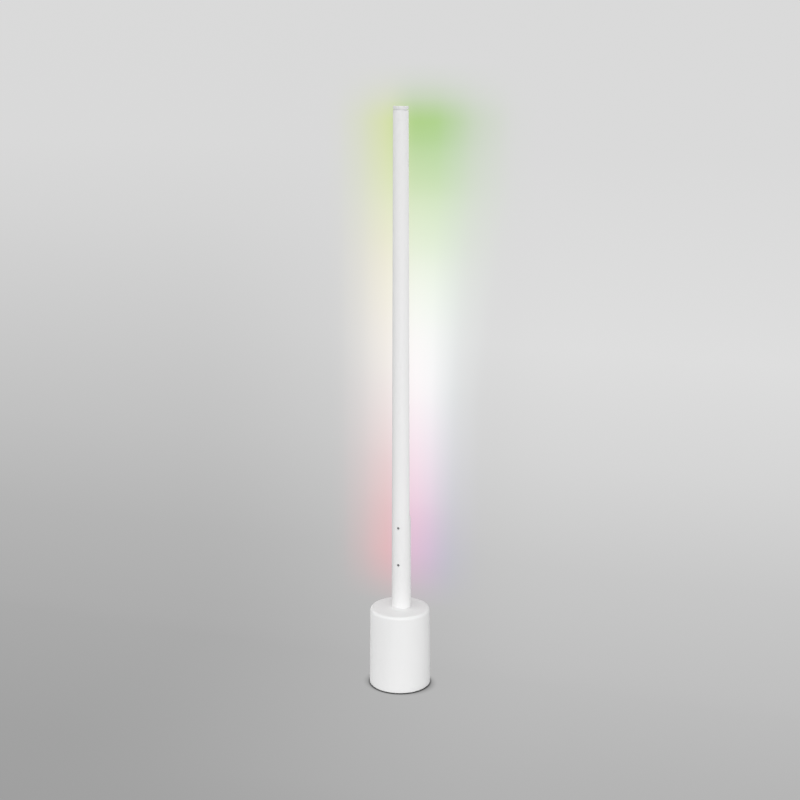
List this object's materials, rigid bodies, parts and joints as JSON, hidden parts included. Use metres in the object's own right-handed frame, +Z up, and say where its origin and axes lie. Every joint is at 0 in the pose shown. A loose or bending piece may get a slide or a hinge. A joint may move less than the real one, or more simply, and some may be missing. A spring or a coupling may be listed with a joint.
{
  "type": "corner floor lamp",
  "caption": "Slim white corner floor lamp: a drum base, an off-centre round stem and a tapering half-round light bar that throws coloured light backwards.",
  "frame": {"origin": "centre of the base's underside, on the floor", "axes": "+Z up along the pole, -Y the front with the two joint screws, +Y the side that the light leaves"},
  "size_m": [0.108, 0.108, 1.01],
  "materials": {
    "white_paint": "satin",
    "white_plastic": "satin",
    "opal": "satin",
    "diodes": "gloss",
    "pad_rubber": "matt",
    "zinc_steel": "satin",
    "dark_steel": "satin",
    "ballast_iron": "rough cast",
    "aluminium": "turned",
    "black_plastic": "satin",
    "grey_plastic": "satin",
    "circuit_board": "satin",
    "wire_white": "satin"
  },
  "bodies": {
    "lamp": {"foot_pad": "pad_rubber", "base_plate": "zinc_steel", "plate_screws": "zinc_steel", "base_weight": "ballast_iron", "weight_screws": "zinc_steel", "base_cover": "white_paint", "cord_gland": "black_plastic", "gland_nut": "black_plastic", "terminal_block": "white_plastic", "supply_wires": "wire_white", "driver_case": "grey_plastic", "driver_lid": "grey_plastic", "driver_board": "circuit_board", "driver_parts": "black_plastic", "driver_screws": "zinc_steel", "board_bracket": "zinc_steel", "bracket_screws": "zinc_steel", "control_board": "circuit_board", "board_parts": "black_plastic", "radio_module": "zinc_steel", "board_screws": "zinc_steel", "switch_housing": "black_plastic", "driver_lead": "black_plastic", "threaded_tube": "zinc_steel", "tube_washer": "zinc_steel", "tube_nut": "zinc_steel", "stem_foot": "aluminium", "stem_tube": "white_paint", "bar_spigot": "aluminium", "joint_screws": "dark_steel", "stem_cap": "white_plastic", "bar_housing": "white_paint", "bar_screws": "zinc_steel", "strip_connector": "white_plastic", "light_strip": "white_plastic", "strip_diodes": "diodes", "diffuser": "opal", "top_cap": "white_plastic", "light_loom": "wire_white"},
    "button": {"mode_button": "white_plastic", "switch_plunger": "white_plastic"}
  },
  "joints": [
    {"name": "mode_button_press", "type": "slide", "parent": "lamp", "child": "button", "axis": [0, -1, 0], "range_m": [0, 0.0012], "stiffness_N_per_m": 900}
  ]
}
